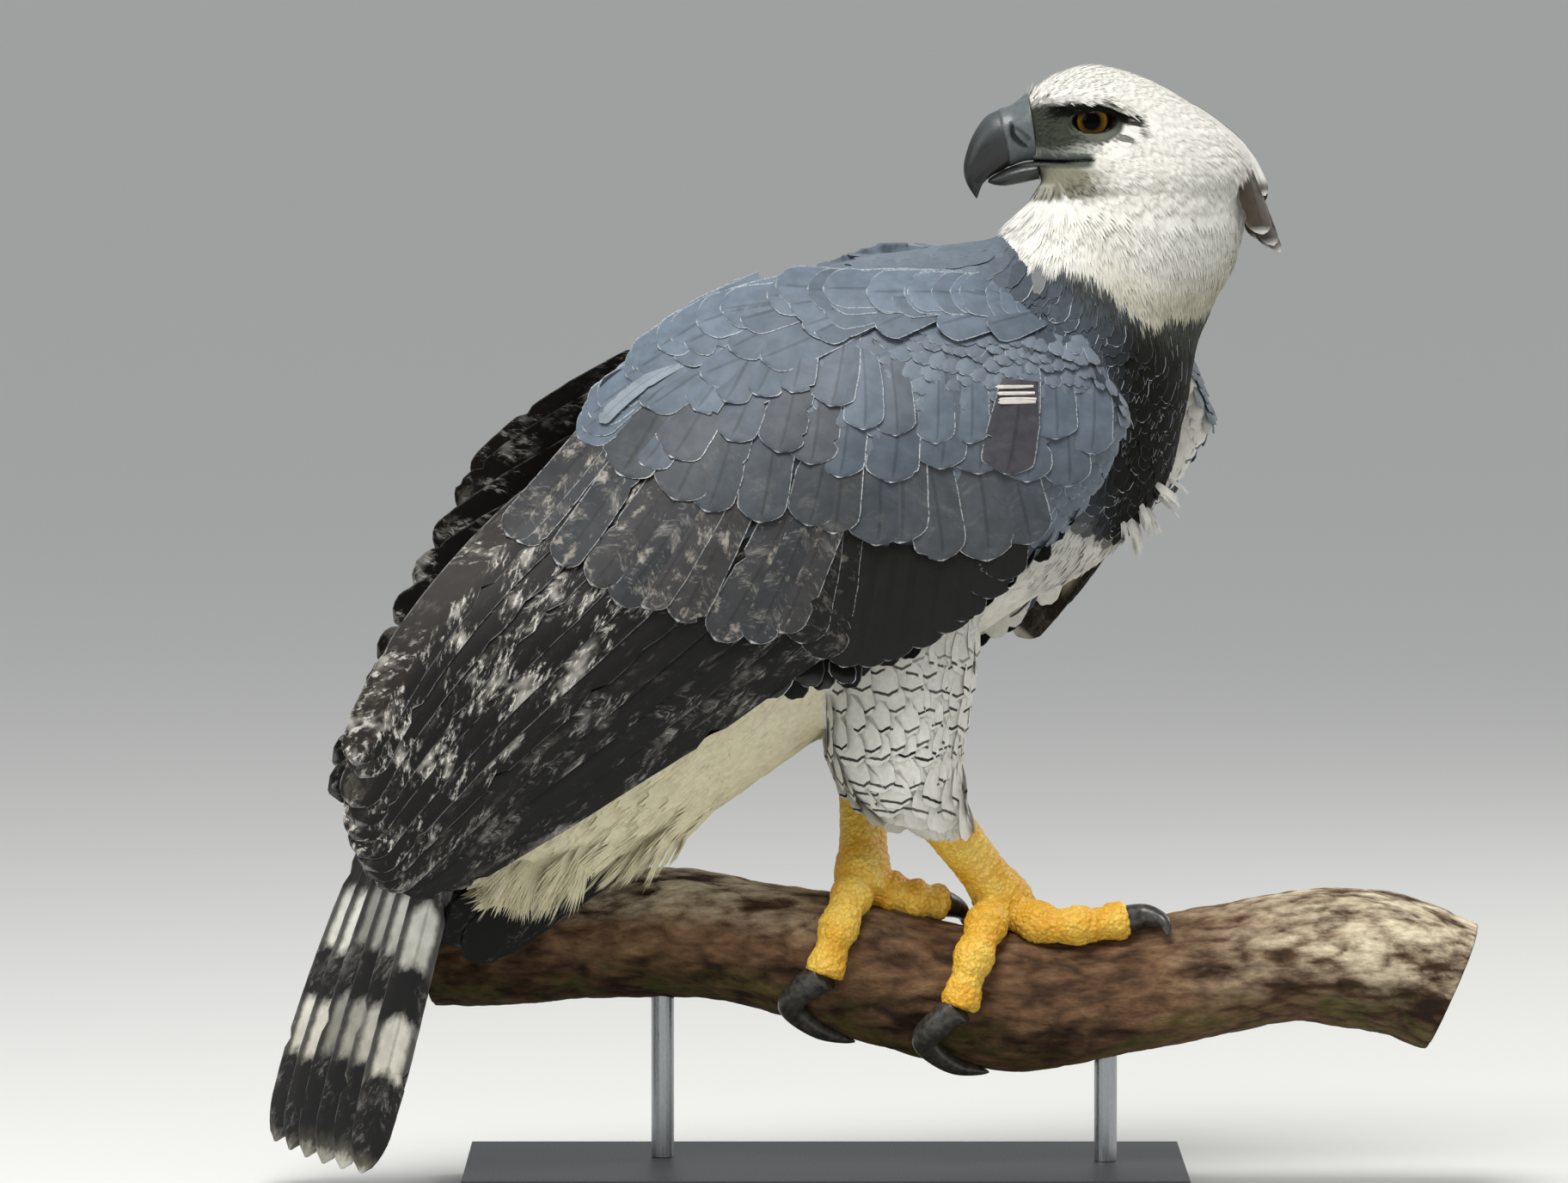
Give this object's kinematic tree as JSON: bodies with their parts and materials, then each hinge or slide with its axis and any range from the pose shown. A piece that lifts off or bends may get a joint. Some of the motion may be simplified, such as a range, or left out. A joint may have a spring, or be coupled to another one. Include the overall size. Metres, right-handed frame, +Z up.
{
  "type": "harpy eagle model",
  "caption": "Harpy eagle standing on a cut branch with its head turned back over its folded wing, banded tail hanging, held by a flat base with short rods.",
  "frame": {"origin": "centre of the underside of the display stand's base, on the floor", "axes": "+X to the bird's breast and along the branch, +Y to the bird's left side, +Z up"},
  "size_m": [0.7303, 0.2604, 0.694],
  "materials": {
    "white_feathers": "soft matte feather",
    "slate_feathers": "soft matte feather",
    "dark_feathers": "satin feather",
    "bill_horn": "satin horn",
    "iris": "wet gloss",
    "yellow_skin": "knobbly scaled skin",
    "claw_horn": "worn horn",
    "bark": "flaking bark",
    "base_plate": "dark satin board",
    "rod_steel": "brushed"
  },
  "bodies": {
    "root": {"head": "white_feathers", "thigh_right": "white_feathers", "thigh_left": "white_feathers", "neck": "slate_feathers", "torso": "slate_feathers", "wing_right": "dark_feathers", "wing_left": "dark_feathers", "tail": "dark_feathers", "bill_upper": "bill_horn", "bill_lower": "bill_horn", "eye_left": "iris", "eye_right": "iris", "shank_right": "yellow_skin", "foot_right": "yellow_skin", "shank_left": "yellow_skin", "foot_left": "yellow_skin", "claw_right_hind": "claw_horn", "claw_right_middle": "claw_horn", "claw_right_outer": "claw_horn", "claw_right_inner": "claw_horn", "claw_left_hind": "claw_horn", "claw_left_middle": "claw_horn", "claw_left_outer": "claw_horn", "claw_left_inner": "claw_horn", "perch_branch": "bark", "stand_base": "base_plate", "stand_rod_rear": "rod_steel", "stand_rod_front": "rod_steel"}
  },
  "joints": []
}
